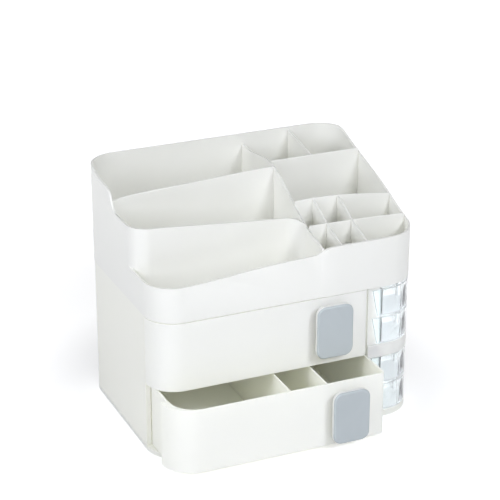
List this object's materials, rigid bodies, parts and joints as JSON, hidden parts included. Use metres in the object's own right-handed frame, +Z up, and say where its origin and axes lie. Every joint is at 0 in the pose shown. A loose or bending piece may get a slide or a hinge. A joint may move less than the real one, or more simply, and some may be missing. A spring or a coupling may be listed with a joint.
{
  "type": "makeup organizer",
  "caption": "Desktop makeup organizer: stepped open tray with brush and lipstick cells over stacked sliding drawers and clear quarter-round swing-out boxes at the right front corner.",
  "frame": {"origin": "on the underside of the base plate, under the middle of the closed cabinet", "axes": "+X to the right seen from the front, +Y from the drawer fronts to the back, +Z up"},
  "size_m": [0.2798, 0.2487, 0.2464],
  "materials": {
    "white": "satin moulded white plastic",
    "grey_pad": "pale blue-grey satin plastic",
    "clear": "clear moulded plastic",
    "pin": "white plastic pin"
  },
  "bodies": {
    "cabinet": {"base_plate": "white", "cabinet_shell": "white", "column_wall": "white", "drawer_shelf": "white", "bay_wall": "white", "corner_band": "white", "pivot_pin_lower": "pin", "pivot_pin_upper": "pin", "tray_floor": "white", "tray_rim_wall": "white", "tier_partition": "white", "tier_front_wall": "white", "grid_side_wall": "white", "brush_wall": "white", "brush_divider": "white", "lipstick_cross_front": "white", "lipstick_cross_rear": "white", "lipstick_divider_left": "white", "lipstick_divider_right": "white"},
    "upper_drawer": {"upper_drawer_box": "white", "upper_divider_left": "white", "upper_divider_right": "white", "upper_handle_knob": "white", "upper_handle_pad": "grey_pad"},
    "lower_drawer": {"lower_drawer_box": "white", "lower_divider_left": "white", "lower_divider_right": "white", "lower_handle_knob": "white", "lower_handle_pad": "grey_pad"},
    "swing_bottom": {"swing_box_bottom": "clear"},
    "swing_low": {"swing_box_low": "clear"},
    "swing_high": {"swing_box_high": "clear"},
    "swing_top": {"swing_box_top": "clear"}
  },
  "joints": [
    {"name": "upper_drawer_slide", "type": "slide", "parent": "cabinet", "child": "upper_drawer", "axis": [0, -1, 0], "range_m": [0, 0.13]},
    {"name": "lower_drawer_slide", "type": "slide", "parent": "cabinet", "child": "lower_drawer", "axis": [0, -1, 0], "range_m": [-0.0395, 0.0905]},
    {"name": "swing_bottom_pivot", "type": "hinge", "parent": "cabinet", "child": "swing_bottom", "pos_m": [0.1348, -0.061, 0.0216], "axis": [0, 0, 1], "range_deg": [0, 85]},
    {"name": "swing_low_pivot", "type": "hinge", "parent": "cabinet", "child": "swing_low", "pos_m": [0.1348, -0.061, 0.05255], "axis": [0, 0, 1], "range_deg": [0, 85]},
    {"name": "swing_high_pivot", "type": "hinge", "parent": "cabinet", "child": "swing_high", "pos_m": [0.1348, -0.061, 0.0959], "axis": [0, 0, 1], "range_deg": [0, 85]},
    {"name": "swing_top_pivot", "type": "hinge", "parent": "cabinet", "child": "swing_top", "pos_m": [0.1348, -0.061, 0.12595], "axis": [0, 0, 1], "range_deg": [0, 85]}
  ]
}
